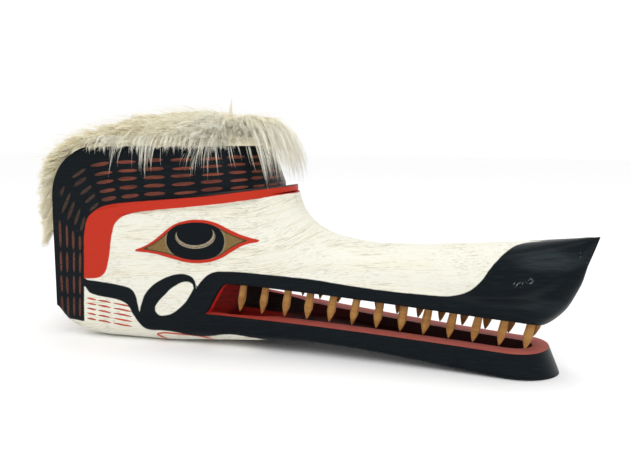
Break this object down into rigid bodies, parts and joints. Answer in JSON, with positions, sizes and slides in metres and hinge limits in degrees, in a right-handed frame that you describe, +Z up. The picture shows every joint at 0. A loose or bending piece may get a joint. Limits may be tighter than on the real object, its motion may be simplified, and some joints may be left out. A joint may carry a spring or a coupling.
{
  "type": "carved animal mask",
  "caption": "Hollow carved cedar wolf mask with a long snout, an open jaw set with wooden peg teeth, painted brow and eyes, and a fur hide on its crown.",
  "frame": {"origin": "centre of the bounding box, at the level the mask stands on", "axes": "+X the way the snout points, +Z up, +Y across to the mask's left"},
  "size_m": [0.618, 0.204, 0.2627],
  "materials": {
    "painted_cedar": "satin paint in white, black and red on carved cedar",
    "tooth_wood": "bare whittled wood",
    "fur": "long soft cream hair on hide"
  },
  "bodies": {
    "root": {"carved_head": "painted_cedar", "fur_hide": "fur", "tooth_right_01": "tooth_wood", "tooth_right_02": "tooth_wood", "tooth_right_03": "tooth_wood", "tooth_right_04": "tooth_wood", "tooth_right_05": "tooth_wood", "tooth_right_06": "tooth_wood", "tooth_right_07": "tooth_wood", "tooth_right_08": "tooth_wood", "tooth_right_09": "tooth_wood", "tooth_right_10": "tooth_wood", "tooth_right_11": "tooth_wood", "tooth_right_12": "tooth_wood", "tooth_right_13": "tooth_wood", "tooth_left_01": "tooth_wood", "tooth_left_02": "tooth_wood", "tooth_left_03": "tooth_wood", "tooth_left_04": "tooth_wood", "tooth_left_05": "tooth_wood", "tooth_left_06": "tooth_wood", "tooth_left_07": "tooth_wood", "tooth_left_08": "tooth_wood", "tooth_left_09": "tooth_wood", "tooth_left_10": "tooth_wood", "tooth_left_11": "tooth_wood", "tooth_left_12": "tooth_wood", "tooth_left_13": "tooth_wood"}
  },
  "joints": []
}
